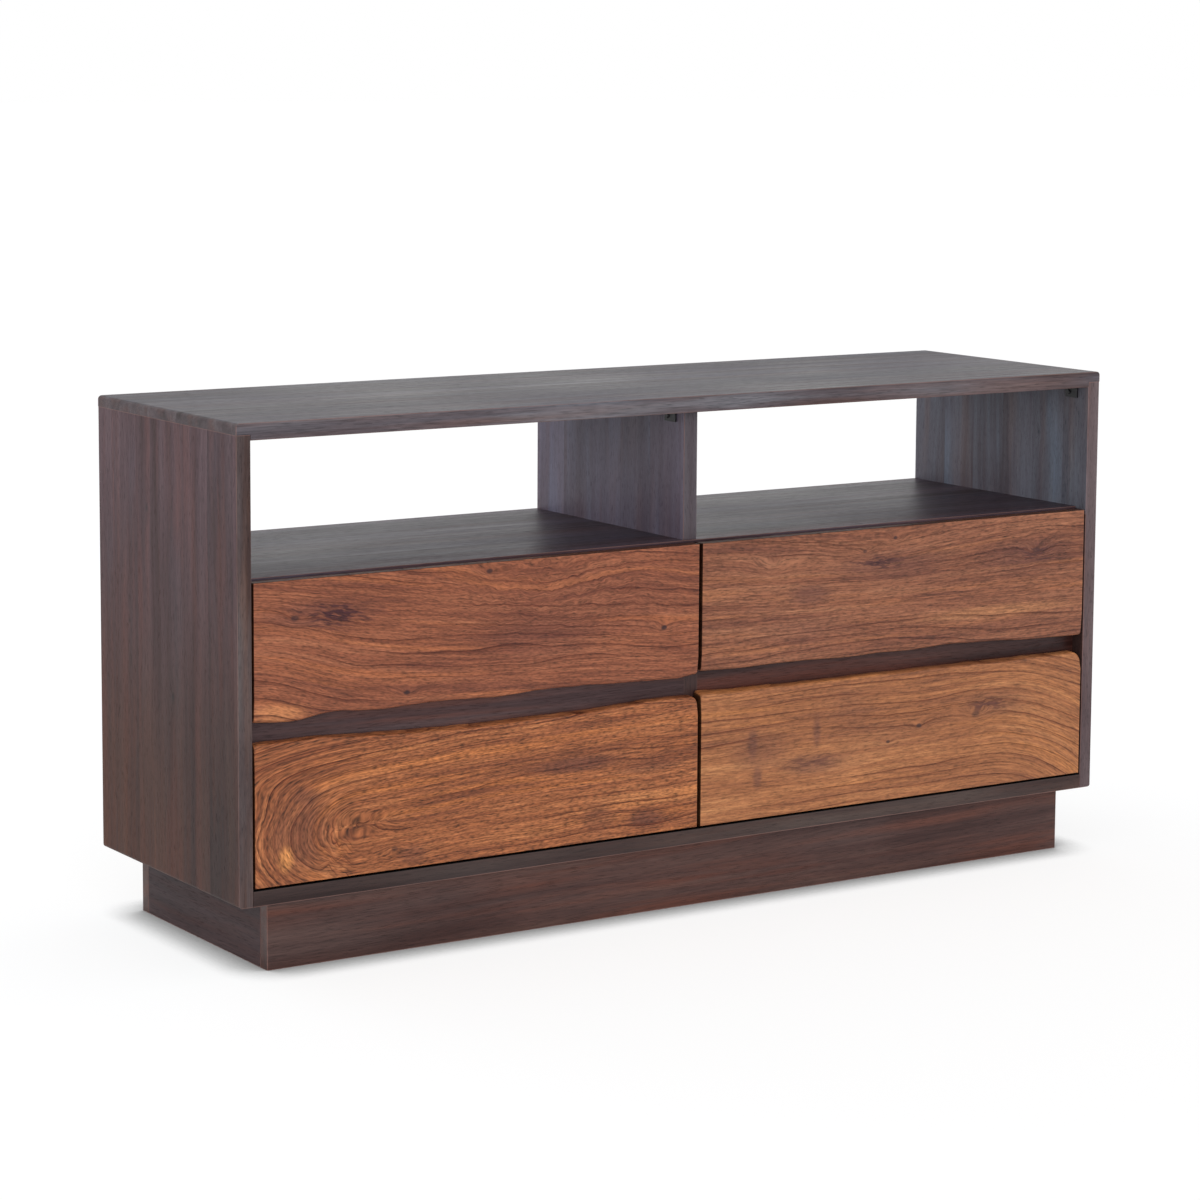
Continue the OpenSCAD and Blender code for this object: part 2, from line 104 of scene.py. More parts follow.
class Wire:
    """An output of a node, which takes part in arithmetic."""

    def __init__(self, tree, socket):
        self.tree = tree
        self.socket = socket

    def __add__(self, other):
        return self.tree.math("ADD", self, other)

    def __sub__(self, other):
        return self.tree.math("SUBTRACT", self, other)

    def __rsub__(self, other):
        return self.tree.math("SUBTRACT", other, self)

    def __mul__(self, other):
        return self.tree.math("MULTIPLY", self, other)

    def __pow__(self, other):
        return self.tree.math("POWER", self, other)

    __radd__ = __add__
    __rmul__ = __mul__


class Tree:
    """The node tree of one material or world, built by short calls."""

    def __init__(self, block):
        block.use_nodes = True
        self.block = block
        self.nodes = block.node_tree.nodes
        self.links = block.node_tree.links
        self.nodes.clear()

    def put(self, slot, value):
        """Links or sets one input."""
        if isinstance(value, Wire):
            self.links.new(value.socket, slot)
        elif isinstance(value, tuple) and len(value) == 3 and slot.type == "RGBA":
            slot.default_value = (*value, 1.0)
        else:
            slot.default_value = value

    def node(self, kind, inputs=None, **settings):
        """A new node. Its inputs are named or numbered."""
        node = self.nodes.new("ShaderNode" + kind)
        for key, value in settings.items():
            setattr(node, key, value)
        for key, value in (inputs or {}).items():
            self.put(node.inputs[key], value)
        return node

    def wire(self, kind, inputs=None, output=0, **settings):
        """The wire of one output of a new node."""
        return Wire(self, self.node(kind, inputs, **settings).outputs[output])

    def math(self, operation, *values):
        """The result of a Math node."""
        return self.wire("Math", dict(enumerate(values)), operation=operation)

    def vector(self, x, y, z):
        """A vector or colour of three numbers or wires."""
        return self.wire("CombineXYZ", {"X": x, "Y": y, "Z": z})

    def split(self, vector):
        """The three parts of a vector or colour."""
        node = self.node("SeparateXYZ", {"Vector": vector})
        return [Wire(self, out) for out in node.outputs]

    def point(self):
        """Object coordinates, which are the place on the object at rest, in metres."""
        return self.split(self.wire("TexCoord", output="Object"))

    def normal(self):
        """The surface's direction in the object's own frame, so that it holds in every pose."""
        world = self.wire("NewGeometry", output="Normal")
        return self.split(self.wire(
            "VectorTransform", {"Vector": world}, vector_type="NORMAL",
            convert_from="WORLD", convert_to="OBJECT"))

    def noise(self, a, b, c, seed, detail=2.0, roughness=0.5):
        """Noise between 0 and 1, with features about one unit across."""
        place = self.vector(a + seed * 7.31, b + seed * 3.17, c + seed * 5.53)
        return self.wire(
            "TexNoise", {"Vector": place, "Scale": 1.0, "Detail": detail, "Roughness": roughness},
            output="Fac")

    def cell(self, a, seed):
        """Three random values that stay the same over one unit of a."""
        whole = self.math("FLOOR", a) + seed * 13.7
        return self.split(self.wire(
            "TexWhiteNoise", {"W": whole}, output="Color", noise_dimensions="1D"))

    def step(self, value, low, high):
        """0 below low, 1 above high, smooth between. It falls where low is above high."""
        return self.wire(
            "MapRange",
            {"Value": value, "From Min": min(low, high), "From Max": max(low, high),
             "To Min": float(low > high), "To Max": float(low < high)},
            interpolation_type="SMOOTHSTEP")

    def mound(self, x, z, centre_x, centre_z, reach_x, reach_z):
        """A round mound, 1 at its centre and near 0 beyond twice its reach."""
        across = (x - centre_x) * (1.0 / reach_x)
        up = (z - centre_z) * (1.0 / reach_z)
        return self.math("EXPONENT", (across * across + up * up) * -1.0)

    def ramp(self, value, stops):
        """A colour ramp through pairs of place and colour."""
        node = self.node("ValToRGB", {"Fac": value})
        row = node.color_ramp.elements
        while len(row) < len(stops):
            row.new(0.5)
        for element, (place, colour) in zip(row, stops):
            element.position = place
            element.color = (*colour, 1.0)
        return Wire(self, node.outputs[0])

    def mix(self, share, first, second, blend="MIX"):
        """The first colour, passing to the second as the share goes from 0 to 1."""
        # The node's sockets share their names, so they are taken by number
        factor, colour_a, colour_b, result = 0, 6, 7, 2
        return self.wire(
            "Mix", {factor: share, colour_a: first, colour_b: second}, output=result,
            data_type="RGBA", blend_type=blend)

    def tone(self, colour, strength):
        """The colour made lighter or darker by a factor."""
        return self.mix(1.0, colour, self.vector(strength, strength, strength), "MULTIPLY")

    def tint(self, strength, wash):
        """A constant tint made lighter or darker by a factor, to multiply a colour by."""
        return self.vector(*(strength * share for share in wash))

    def finish(self, colour, roughness, height, depth, **constants):
        """The surface shader. depth is the relief in metres. The constants go straight onto the
        shader's sockets."""
        bump = self.wire("Bump", {"Height": height, "Distance": depth, "Strength": 1.0})
        sockets = {key.replace("_", " "): value for key, value in constants.items()}
        shader = self.wire("BsdfPrincipled", {
            "Base Color": colour, "Roughness": roughness, "Normal": bump, **sockets})
        self.node("OutputMaterial", {"Surface": shader})
        return self.block


def new_tree(name):
    """The node tree of a new material."""
    return Tree(bpy.data.materials.new(name))


def srgb(*colour):
    """Linear colour of an sRGB colour in 0 to 255."""
    return tuple(c / 255 / 12.92 if c <= 10 else ((c / 255 + 0.055) / 1.055) ** 2.4
                 for c in colour)


def under(*colour):
    """Linear colour of wood that shows as the given sRGB colour under the thin haze of its
    lacquer."""
    haze = 0.02
    return tuple(max(0.001, c - haze) for c in srgb(*colour))


# Stained boards

STAIN = [
    (0.38, under(64, 49, 47)), (0.46, under(79, 62, 60)), (0.54, under(90, 72, 69)),
    (0.62, under(104, 86, 82))]
STAIN_RED = under(108, 72, 62)
STAIN_PALE = under(92, 82, 82)
STAIN_KNOT = srgb(34, 24, 22)
# Painted shade: the black of the bottom board's upper face, seen in the gap under the fronts
SHADE_BLACK = srgb(14, 11, 11)
# Painted highlight: the light line along the boards' edges, where light catches them
EDGE_HIGHLIGHT = srgb(142, 106, 98)
LACQUER_TINT = (0.84, 0.92, 1.0, 1.0)
# Width of the painted highlight along an edge, in metres
ARRIS_W = 0.0014
# Heights over which a face's painted light passes from its lower tint to its upper one, in metres
LIGHT_FADE_FROM_Z = 0.2
LIGHT_FADE_TO_Z = 0.72

# Directions of a board's faces: axis and sign
LEFT = (0, -1.0)
RIGHT = (0, 1.0)
FRONT = (1, -1.0)
BACK = (1, 1.0)


def arris(t, place, low, high):
    """1 on a board's edges and 0 elsewhere, from the distances to the planes of its box."""
    near = [t.math("MINIMUM", place[axis] - low[i], high[i] - place[axis])
            for i, axis in enumerate("xyz")]
    small = t.math("MINIMUM", near[0], near[1])
    large = t.math("MAXIMUM", near[0], near[1])
    second = t.math("MAXIMUM", small, t.math("MINIMUM", large, near[2]))
    inside = t.step(t.math("MINIMUM", small, near[2]), -0.002, -0.001)
    return t.step(second, ARRIS_W, ARRIS_W * 0.3) * inside


def stained(name, axes, seed, nodes, plank=0.0, knots=(), wash=(1.0, 1.0, 1.0), faces=(),
            red=0.5, rough=0.42, patchy=1.0, stretch=1.0, soft=1.0, worn=1.0, shade_black_above=None):
    """Dark stained walnut on boards that share a grain. Places and sizes are in metres.
    axes: the directions along the grain, across it and through the board
    plank: width of the glued strips, 0 for none
    knots: place along, place across and radius of each
    wash: the stain's tint over the common brown, on some boards partly painted light
    faces: painted light, as faces with tints of their own, each by its direction, the height
    where it starts, and the tint of its lower end and, where that differs, of its upper end
    red: strength of the reddish streaks
    rough, patchy: the lacquer's roughness, and how uneven it is
    stretch, soft: how short the streaks are, and how strong
    worn: strength of the painted highlight along the edges
    inner: the height above which the board is painted black, a painted shade under the drawers"""
    t = new_tree(name)
    place = dict(zip("xyz", t.point()))
    along, across, through = (place[axis] for axis in axes)
    edge = across * (1 / plank if plank else 0.0)
    if plank:
        edge = edge + 0.37 * seed + t.noise(along * 0.8, across * 0.5, 0.0, seed) * 0.05
    chance, shift, slope = t.cell(edge, seed)
    grain = across + shift * 0.9 + along * (slope - 0.5) * 0.03
    run = along * stretch + chance * 3.0

    def figure(length, width, layer, **settings):
        """Noise in streaks, by its rates per metre along and across the grain."""
        return t.noise(run * length, grain * width, through * width, seed + layer, **settings)

    for knot_a, knot_b, radius in knots:
        swelling = t.mound(along, across, knot_a, knot_b, radius * 4.0, radius * 1.6)
        grain = grain + swelling * radius * 1.6
    grain = grain + figure(1.5, 5.0, 0.0, detail=1.0) * 0.03
    bands = figure(0.9, 34.0, 0.0, detail=3.0, roughness=0.6)
    streaks = figure(2.6, 150.0, 1.0, detail=3.0, roughness=0.65)
    fibres = figure(22.0, 520.0, 2.0, roughness=0.6)
    pores = t.step(figure(55.0, 900.0, 4.0, detail=0.0), 0.62, 0.74)
    glow = t.step(figure(2.0, 42.0, 5.0, detail=3.0), 0.46, 0.72)
    pale = t.step(figure(1.3, 17.0, 6.0), 0.52, 0.7)
    cloud = t.noise(along * 2.3, across * 3.1, through * 3.0, seed + 3.0)

    value = (bands * 0.46 + streaks * 0.16 + cloud * 0.38 - 0.5) * soft + 0.5
    colour = t.ramp(value, STAIN)
    colour = t.mix(glow * red, colour, STAIN_RED)
    colour = t.mix(pale * 0.35, colour, STAIN_PALE)
    for knot_a, knot_b, radius in knots:
        eye = t.mound(along, across, knot_a, knot_b, radius, radius * 0.7)
        colour = t.mix(eye * 0.8, colour, STAIN_KNOT)

    strength = (chance if plank else 0.5) * 0.4 + 0.8 + (fibres - 0.5) * soft - pores * 0.3
    if plank:
        from_middle = t.math("ABSOLUTE", t.math("FRACT", edge) - 0.5)
        glued = t.step(from_middle, 0.488, 0.499)
        strength = strength - glued * 0.2
    stain = t.tint(strength, wash)
    # Painted light: faces lit in their own way get their own lighter, darker or cooler tint
    for (axis, sign), lowest, *tints in faces:
        turned = t.step(t.normal()[axis] * sign, 0.3, 0.7)
        turned = turned * t.step(place["z"], lowest - 0.001, lowest)
        own = t.mix(t.step(place["z"], LIGHT_FADE_FROM_Z, LIGHT_FADE_TO_Z), tints[0], tints[-1])
        stain = t.mix(turned, stain, t.tone(own, strength))
    colour = t.mix(1.0, colour, stain, "MULTIPLY")
    # Painted highlight along each board's edges, standing for light caught on the eased edges
    for node in nodes:
        low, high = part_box(node)
        edge_highlight = arris(t, place, low, high) * (0.1 + streaks * 0.8) * worn
        colour = t.mix(edge_highlight, colour, EDGE_HIGHLIGHT)
    # Painted shade: the board's upper face is black, for the shade in the gap under the fronts
    if shade_black_above:
        above = t.step(place["z"], shade_black_above - 0.0012, shade_black_above - 0.0004)
        colour = t.mix(above, colour, SHADE_BLACK)

    uneven = (streaks - 0.5) * 0.2 + (cloud - 0.5) * 0.16
    gloss = rough + uneven * patchy + pores * 0.12
    height = fibres * 0.4 + streaks * 0.5 - pores * 0.8
    dress(t.finish(colour, gloss, height, depth=0.00018, Specular_IOR_Level=0.3,
                   Specular_Tint=LACQUER_TINT), *nodes)


# Live-edge boards

OILED = [
    (0.37, under(98, 64, 55)), (0.44, under(120, 76, 61)), (0.5, under(139, 88, 67)),
    (0.56, under(154, 100, 75)), (0.64, under(173, 117, 86))]
OILED_GLOW = under(180, 113, 75)
OILED_DUSK = under(104, 70, 64)
SHADE_DARK = under(90, 62, 60)
SHADE_LIGHT = under(208, 142, 94)
DASH = under(62, 44, 50)
FINE_LINE = under(94, 58, 48)
BOLD_LINE = under(70, 42, 40)
EYE = under(58, 48, 50)
# Rounds the rings off at their very core, in square metres
CORE_ROUND = 0.0000005
# The upper fronts' saw-cut upper face, just under the shelf, is painted darker as shade: heights
# between which that sets in, in metres
SHADE_UNDER_SHELF_FROM_Z = 0.540
SHADE_UNDER_SHELF_TO_Z = 0.546


def around_heart(t, x, z, wander, heart):
    """Grain coordinates of a board that shows the core of its rings: the distance from the core,
    the distance along the rings, how far the lines may waver, and a fold that keeps the two sides
    of the core apart."""
    left, right, height, slope, close_left, close_right = heart
    rise = z + wander * 0.03 - height * MM - (x - left * MM) * slope
    before = t.math("MAXIMUM", left * MM - x, 0.0) * close_left
    beyond = t.math("MAXIMUM", x - right * MM, 0.0) * close_right
    past = before * (1.0 - t.step(rise, 0.03, 0.12) * 0.4) + beyond
    grain = t.math("SQRT", rise * rise + past * past + CORE_ROUND)
    run = t.math("MAXIMUM", x, left * MM) if close_left else x
    run = t.math("MINIMUM", run, right * MM) if close_right else run
    run = run + grain * t.math("ARCTAN2", beyond - before, t.math("ABSOLUTE", rise))
    calm = t.step(grain, 0.002, 0.03)
    fold = t.step(rise, 0.005, -0.005) * t.step(past, 0.04, 0.0) * 2.0
    return grain, run, calm, fold


def live_wood(name, seed, heart=None, tilt=0.0, swirls=(), eyes=(), shades=(), dashes=(),
              curls=(), fine=1.0, soft=1.0, wash=(1.0, 1.0, 1.0)):
    """Oiled wood with figured grain. Places and sizes are in mm.
    heart: the core of the rings where the board shows it: left end, right end, height, slope,
        and how fast the rings close beyond each end
    tilt: slope of the grain on a board without a core
    swirls: place, reach and lift of each bend of the grain lines
    eyes: place, radius and darkness of each small knot
    shades: place, reach and amount of each soft dark patch, or light one where it is negative
    dashes: place, reach and amount of each patch of short dark streaks
    curls: place, reach and depth of each patch of crinkled grain
    fine, soft: strength of the fine lines and fibres, and of the broad figure
    wash: tint over the common colour"""
    t = new_tree(name)
    x, y, z = t.point()

    def spot(place_x, place_z, reach_x, reach_z):
        return t.mound(x, z, place_x * MM, place_z * MM, reach_x * MM, reach_z * MM)

    wander = t.noise(x * 1.6, z * 3.0, y * 2.0, seed) - 0.5
    if heart:
        grain, run, calm, fold = around_heart(t, x, z, wander, heart)
    else:
        grain, run, calm, fold = z + x * tilt + wander * 0.035, x, 1.0, 0.0
    for *patch, lift in swirls:
        grain = grain + spot(*patch) * (lift * MM)
    for place_x, place_z, radius, _ in eyes:
        grain = grain + spot(place_x, place_z, radius * 5, radius * 2) * (radius * 1.7 * MM)
    for *patch, depth in curls:
        crinkle = t.noise(x * 38.0, z * 75.0, y * 20.0, seed + 13.0) - 0.5
        grain = grain + crinkle * spot(*patch) * (depth * MM)

    def figure(length, width, depth, layer, **settings):
        """Noise in streaks, by its rates per metre along, across and into the grain."""
        return t.noise(run * length, grain * width, y * depth + fold, seed + layer, **settings)

    warp = (figure(2.4, 9.0, 8.0, 1.0) - 0.5) * calm
    tremble = (figure(14.0, 60.0, 20.0, 10.0, detail=1.0) - 0.5) * calm
    bold_year = t.math("FRACT", grain * 60.0 + warp * 3.6 + tremble * 0.3)
    bold_share = t.step(figure(2.2, 20.0, 8.0, 2.0, detail=1.0), 0.38, 0.54)
    bold = (bold_year ** 10.0) * bold_share
    thin_year = t.math("FRACT", grain * 150.0 + warp * 8.0 + tremble * 0.9)
    thin_share = t.step(figure(3.0, 30.0, 8.0, 11.0), 0.34, 0.6)
    thin = (thin_year ** 4.0) * thin_share
    broad = figure(1.6, 24.0, 12.0, 3.0, detail=3.0, roughness=0.6)
    stripes = figure(3.2, 110.0, 60.0, 4.0, detail=3.0, roughness=0.65)
    fibres = figure(30.0, 420.0, 300.0, 5.0, roughness=0.6)
    speck = figure(120.0, 560.0, 500.0, 7.0, detail=1.0)
    glow = t.step(figure(2.0, 50.0, 20.0, 8.0), 0.54, 0.72)
    dusk = t.step(figure(3.2, 14.0, 6.0, 9.0, detail=3.0), 0.54, 0.74)
    cloud = t.noise(x * 4.5, z * 7.5, y * 5.0, seed + 6.0, detail=3.0)
    pores = t.step(speck, 0.58, 0.72)

    value = broad * 0.24 + stripes * 0.4 + cloud * 0.23 + fibres * 0.13
    colour = t.ramp((value - 0.5) * soft + 0.5, OILED)
    colour = t.mix(glow * (0.55 * soft), colour, OILED_GLOW)
    colour = t.mix(dusk * (0.42 * soft), colour, OILED_DUSK)
    for *patch, amount in shades:
        reach = t.step(spot(*patch) * (0.4 + stripes * 1.2), 0.1, 0.9)
        colour = t.mix(reach * abs(amount), colour, SHADE_DARK if amount > 0 else SHADE_LIGHT)
    for *patch, amount in dashes:
        reach = spot(*patch)
        broken = t.step(figure(50.0, 260.0, 60.0, 12.0) + reach * 0.22, 0.62, 0.74)
        colour = t.mix(broken * reach * amount, colour, DASH)
    colour = t.mix(thin * (0.62 * fine), colour, FINE_LINE)
    colour = t.mix(bold * 0.9, colour, BOLD_LINE)
    for place_x, place_z, radius, amount in eyes:
        eye = t.step(spot(place_x, place_z, radius * 1.6, radius) * (0.5 + speck), 0.3, 0.8)
        colour = t.mix(eye * amount, colour, EYE)

    grit = (fibres - 0.5) * (1.3 * fine) + (speck - 0.5) * (1.9 * fine)
    strength = 1.04 + fine * 0.03 + grit - pores * 0.2
    colour = t.mix(1.0, colour, t.tint(strength, wash), "MULTIPLY")
    # Painted shade: the top face of the upper fronts under the shelf, and the end faces in the gaps
    side, _, up = t.normal()
    shade_under_shelf = t.step(up, 0.6, 0.9) * t.step(z, SHADE_UNDER_SHELF_FROM_Z, SHADE_UNDER_SHELF_TO_Z)
    end_shade = t.step(t.math("ABSOLUTE", side), 0.7, 0.95)
    colour = t.tone(colour, (1.0 - shade_under_shelf * 0.72) * (1.0 - end_shade * 0.86))
    gloss = 0.42 + (stripes - 0.5) * 0.16 + pores * 0.12 + bold * 0.08 + (cloud - 0.5) * 0.12
    height = fibres * 0.4 + stripes * 0.35 - pores * 0.6 - bold * 0.8
    return t.finish(colour, gloss, height, depth=0.0002, Specular_IOR_Level=0.3)


# Pale woods and metals

PALE = [
    (0.3, srgb(164, 129, 92)), (0.45, srgb(184, 149, 109)), (0.55, srgb(194, 161, 121)),
    (0.7, srgb(206, 177, 138))]
PLY = [
    (0.3, srgb(146, 114, 82)), (0.45, srgb(162, 129, 94)), (0.55, srgb(172, 140, 104)),
    (0.7, srgb(186, 156, 120))]
ZINC = [(0.3, srgb(143, 149, 158)), (0.5, srgb(152, 155, 158)), (0.7, srgb(160, 158, 150))]
COAT = srgb(15, 15, 19)
COAT_RUBBED = srgb(30, 30, 35)


def pale_wood(name, axes, seed, stops, rough=0.5, layers=0.0):
    """Pale wood for boxes, braces and plywood.
    axes: the directions along the grain, across it and through the board
    stops: the colours of its bands, dark to light
    layers: thickness of a plywood's veneers in metres, 0 for solid wood"""
    t = new_tree(name)
    place = dict(zip("xyz", t.point()))
    along, across, through = (place[axis] for axis in axes)
    bend = t.noise(along * 1.6, across * 5.0, through * 5.0, seed, detail=1.0)
    grain = across + (bend - 0.5) * 0.06

    def figure(length, width, depth, layer, **settings):
        """Noise in streaks, by its rates per metre along, across and into the grain."""
        return t.noise(along * length, grain * width, through * depth, seed + layer, **settings)

    bands = figure(1.4, 26.0, 30.0, 0.0, detail=3.0, roughness=0.55)
    lines = figure(4.0, 210.0, 200.0, 1.0, detail=3.0)
    fibres = figure(26.0, 900.0, 900.0, 2.0, detail=1.0)
    pores = t.step(figure(60.0, 1100.0, 1100.0, 3.0, detail=0.0), 0.6, 0.72)
    cloud = t.noise(along * 3.0, across * 4.0, through * 4.0, seed + 4.0)
    colour = t.ramp(bands * 0.4 + lines * 0.4 + cloud * 0.2, stops)
    strength = 1.0 + (fibres - 0.5) * 0.3 + (lines - 0.5) * 0.2 - pores * 0.16
    if layers:
        facing = t.math("ABSOLUTE", t.normal()["xyz".index(axes[2])])
        from_middle = t.math("ABSOLUTE", t.math("FRACT", through * (0.5 / layers)) - 0.5)
        veneer = t.step(from_middle, 0.2, 0.3)
        strength = strength - veneer * t.step(facing, 0.6, 0.3) * 0.35
    gloss = rough + (lines - 0.5) * 0.15
    height = fibres * 0.5 + lines * 0.5 - pores * 0.5
    colour = t.tone(colour, strength)
    return t.finish(colour, gloss, height, depth=0.00012, Specular_IOR_Level=0.35)


def zinc(name):
    """Zinc-plated sheet, rolled along Y, with the faint blue and yellow of its passivation."""
    t = new_tree(name)
    x, y, z = t.point()
    rolled = t.noise(x * 900.0, y * 8.0, z * 900.0, 1.0)
    bloom = t.noise(x * 30.0, y * 30.0, z * 30.0, 2.0)
    colour = t.tone(t.ramp(bloom, ZINC), 0.95 + (rolled - 0.5) * 0.3)
    gloss = 0.3 + (rolled - 0.5) * 0.2 + (bloom - 0.5) * 0.2
    return t.finish(colour, gloss, rolled, depth=0.00004, Metallic=1.0)


def powder_coat(name):
    """Black powder coat with its fine orange-peel skin, rubbed a little lighter in places."""
    t = new_tree(name)
    x, y, z = t.point()
    skin = t.noise(x * 700.0, y * 700.0, z * 700.0, 3.0, detail=1.0)
    rubbed = t.step(t.noise(x * 60.0, y * 60.0, z * 60.0, 4.0), 0.55, 0.75)
    colour = t.mix(rubbed * 0.4, COAT, COAT_RUBBED)
    return t.finish(colour, 0.45 + (skin - 0.5) * 0.2, skin, depth=0.00008)


# Fronts, in mm

def box_mm(node):
    """A CAD node's lowest and highest corners in mm."""
    return [[round(float(value) / MM, 3) for value in corner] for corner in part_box(node)]


FRONT_LOW, FRONT_HIGH = box_mm("lower_left_front")
FRONT_W = FRONT_HIGH[0] - FRONT_LOW[0]
FRONT_T = FRONT_HIGH[1] - FRONT_LOW[1]
# Middle and mean height of the finger gap between the live edges of the two rows
FINGER_GAP_Z = 336.0
FINGER_GAP_H = 36.0
# Live edges: share of the width, offset of the face's edge, further rise to the back
WAVES = {
    "upper_left": [
        [0, 0.5, -3], [0.06, -2.5, -4], [0.1, -2, -4], [0.16, 3.5, -2], [0.28, -0.5, -1.5],
        [0.4, 2, -2.5], [0.53, -1.5, -1], [0.66, 2, -3], [0.79, -1, -2], [0.94, -4.5, -1],
        [1, -1, -2]],
    "upper_right": [
        [0, 2.5, -2], [0.1, 0.5, -1], [0.25, 1.5, -3], [0.36, -1.5, -2], [0.44, -0.5, -1.5],
        [0.52, -1.5, -1], [0.65, 1, -3], [0.75, -1.5, -2.5], [0.88, -6.5, -0.5], [1, -8, 0]],
    "lower_left": [
        [0, 5, 0.5], [0.07, 5, 1], [0.13, 6, 0], [0.24, 0, 2.5], [0.36, -3.5, 3],
        [0.49, -6.5, 4], [0.62, -4.5, 2.5], [0.76, -3.5, 2], [0.88, 2, 0.5], [1, 1.5, 1.5]],
    "lower_right": [
        [0, 2.5, 5], [0.07, 0, 5], [0.16, 1.5, 2.5], [0.28, 1, 1.5], [0.38, 2, 1],
        [0.52, 0.5, 2.5], [0.62, 1, 2], [0.8, -0.5, 3], [1, 0.5, 1.5]],
}
# Corner radii at the live edge: left end, right end
CORNERS = {
    "upper_left": (4, 4), "upper_right": (4, 4), "lower_left": (4, 12), "lower_right": (6, 16)}
# Sections from face to back: inset and depth on the sawn edges, drop and depth on the live edge
SECTIONS = [
    (6.0, 0.0, 14.0, 0.0), (4.0, 0.0, 9.0, 0.2), (2.5, 0.0, 5.5, 0.7), (1.0, 0.0, 3.0, 1.5),
    (0.3, 0.3, 1.3, 2.7), (0.0, 1.0, 0.4, 4.2), (0.0, 6.0, 0.0, 7.0), (0.0, 14.0, 0.0, 14.0),
    (0.0, FRONT_T - 2.0, 0.3, FRONT_T - 2.5), (0.3, FRONT_T - 0.6, 0.9, FRONT_T - 0.8),
    (1.0, FRONT_T, 2.0, FRONT_T)]
# Number of ripples on a live edge, and the length over which they fade at its ends
RIPPLES = 9
RIPPLE_FADE = 20.0
# Height between the mean live edge and the points on the sawn ends next to it
END_MARGIN = 26.0


def wave_at(wave, u):
    """Offset and rise of a live edge at u, on a smooth curve through the wave's points."""
    def knot(i):
        return wave[max(0, min(len(wave) - 1, i))]

    def tangent(i):
        return (knot(i + 1) - knot(i - 1)) / (knot(i + 1)[0] - knot(i - 1)[0])

    i = max(0, min(len(wave) - 2, int(np.searchsorted(wave[:, 0], u, side="right") - 1)))
    run = wave[i + 1][0] - wave[i][0]
    s = (u - wave[i][0]) / run
    value = (wave[i] * (2 * s ** 3 - 3 * s ** 2 + 1) + tangent(i) * run * (s ** 3 - 2 * s ** 2 + s)
             + wave[i + 1] * (3 * s ** 2 - 2 * s ** 3) + tangent(i + 1) * run * (s ** 3 - s ** 2))
    return value[1], value[2]


def stations(left_r, right_r, steps=220, corner_steps=9):
    """Distances along the live edge, each with the drop of the rounded corner there."""
    arc = [math.pi / 2 * i / corner_steps for i in range(corner_steps + 1)]
    left = [(left_r * (1 - math.cos(a)), left_r * (1 - math.sin(a))) for a in arc]
    right = [(FRONT_W - right_r * (1 - math.cos(a)), right_r * (1 - math.sin(a)))
             for a in reversed(arc)]
    span = FRONT_W - left_r - right_r
    return left + [(left_r + span * i / steps, 0.0) for i in range(1, steps)] + right


def ripple_set(name):
    """Length, phase, height and shear of each worn ripple on a live edge."""
    chance = random.Random(name)
    return [(chance.uniform(30, 120), chance.uniform(0, 6.3), chance.uniform(0.03, 0.14),
             chance.uniform(-0.12, 0.12))
            for _ in range(RIPPLES)]


def front_outlines(name):
    """The closed outlines of a front's sections, from its face to its back. The live edge faces
    up on the lower fronts and down on the upper ones."""
    (left_x, face_y, bottom_z), (_, _, top_z) = box_mm(name + "_front")
    up = 1 if name.startswith("lower") else -1
    straight = bottom_z if up == 1 else top_z
    mean = FINGER_GAP_Z - up * FINGER_GAP_H / 2
    wave = np.array(WAVES[name], float)
    marks = stations(*CORNERS[name])
    ripples = ripple_set(name)
    outlines = []
    for inset, depth, drop, live_depth in SECTIONS:
        outline = []
        for s, corner in marks:
            offset, rise = wave_at(wave, s / FRONT_W)
            edge = mean + offset + rise * live_depth / FRONT_T
            fade = min(1.0, s / RIPPLE_FADE, (FRONT_W - s) / RIPPLE_FADE)
            worn = fade * sum(
                size * math.sin(2 * math.pi * (s + shear * live_depth * 8) / length + phase)
                for length, phase, size, shear in ripples)
            x = inset + s * (FRONT_W - 2 * inset) / FRONT_W
            z = edge - up * (corner + drop) + worn
            outline.append((left_x + x, face_y + live_depth, z))
        near = mean - up * END_MARGIN
        far = straight + up * inset
        heights = (near, (near + far) / 2, far)
        outline += [(left_x + (FRONT_W - inset), face_y + depth, z) for z in heights]
        outline += [(left_x + inset, face_y + depth, z) for z in reversed(heights)]
        outlines.append(outline)
    return outlines


def make_front(name, material):
    """A front as a fine loft, with worn ripples on its live edge."""
    mesh = bmesh.new()
    grid = [[mesh.verts.new((x * MM, y * MM, z * MM)) for x, y, z in outline]
            for outline in front_outlines(name)]
    mesh.faces.new(grid[0])
    mesh.faces.new(reversed(grid[-1]))
    count = len(grid[0])
    for near, far in zip(grid, grid[1:]):
        for i in range(count):
            j = (i + 1) % count
            mesh.faces.new((near[i], far[i], far[j], near[j]))
    bmesh.ops.recalc_face_normals(mesh, faces=mesh.faces)
    data = mesh_data(name + "_board", mesh, material)
    data.polygons.foreach_set("use_smooth", [True] * len(data.polygons))
    data.set_sharp_from_angle(angle=math.radians(32))
    board = show(name + "_board", data)
    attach(board, name + "_drawer")
    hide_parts(name + "_front")


# Studio

SKY = (0.985, 0.99, 1.0)
SKY_STRENGTH = 0.76
# Half the floor's width in metres, and its number of tiles each way
FLOOR_REACH = 60.0
FLOOR_TILES = 12
# The floor as it lights the object, and as it is seen: a little of its own shade and a glow that
# together come to white far from the object
PAPER = (0.86, 0.86, 0.86)
SEEN_PAPER = (0.3, 0.3, 0.3)
PAPER_GLOW = 0.76
# How far from the object its contact shadow reaches, in metres, and how fast it darkens
CONTACT_REACH = 0.068
CONTACT_POWER = 2.1


